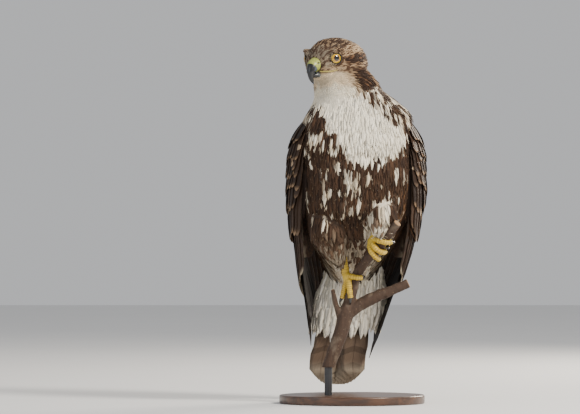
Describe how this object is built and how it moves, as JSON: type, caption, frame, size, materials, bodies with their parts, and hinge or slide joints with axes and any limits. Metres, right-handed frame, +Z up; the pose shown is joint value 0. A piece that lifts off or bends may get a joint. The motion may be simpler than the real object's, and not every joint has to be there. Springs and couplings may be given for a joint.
{
  "type": "red-tailed hawk model on a perch",
  "caption": "Life-size young red-tailed hawk perched upright on a cut forked branch, head turned to its right, one foot raised, on a display stand.",
  "frame": {"origin": "centre of the display base's underside", "axes": "+Z up, -Y the way the breast faces, +X to the bird's left"},
  "size_m": [0.2113, 0.2031, 0.5221],
  "materials": {
    "plumage_light": "matt feather coat, cream with brown spots",
    "plumage_brown": "matt feather coat, dark brown with pale edges",
    "plumage_head": "matt feather coat, streaked brown and buff",
    "bill_horn": "dark slate horn, satin",
    "cere_skin": "greenish yellow bare skin",
    "foot_skin": "yellow scaled skin",
    "talon_horn": "black horn, polished",
    "eye_yellow": "glass eye, pale yellow iris and black pupil",
    "bark": "dark rough bark",
    "rod_steel": "dark satin",
    "base_wood": "dark stained timber, satin"
  },
  "bodies": {
    "root": {"head": "plumage_head", "neck": "plumage_light", "torso": "plumage_light", "tail": "plumage_light", "wing_right": "plumage_brown", "wing_left": "plumage_brown", "thigh_right": "plumage_light", "thigh_left": "plumage_light", "shank_right": "foot_skin", "shank_left": "foot_skin", "foot_right": "foot_skin", "foot_left": "foot_skin", "cere": "cere_skin", "upper_bill": "bill_horn", "lower_bill": "bill_horn", "eye_right": "eye_yellow", "eye_left": "eye_yellow", "talon_right_1": "talon_horn", "talon_right_2": "talon_horn", "talon_right_3": "talon_horn", "talon_right_4": "talon_horn", "talon_left_1": "talon_horn", "talon_left_2": "talon_horn", "talon_left_3": "talon_horn", "talon_left_4": "talon_horn", "perch": "bark", "stand_rod": "rod_steel", "stand_base": "base_wood"}
  },
  "joints": []
}
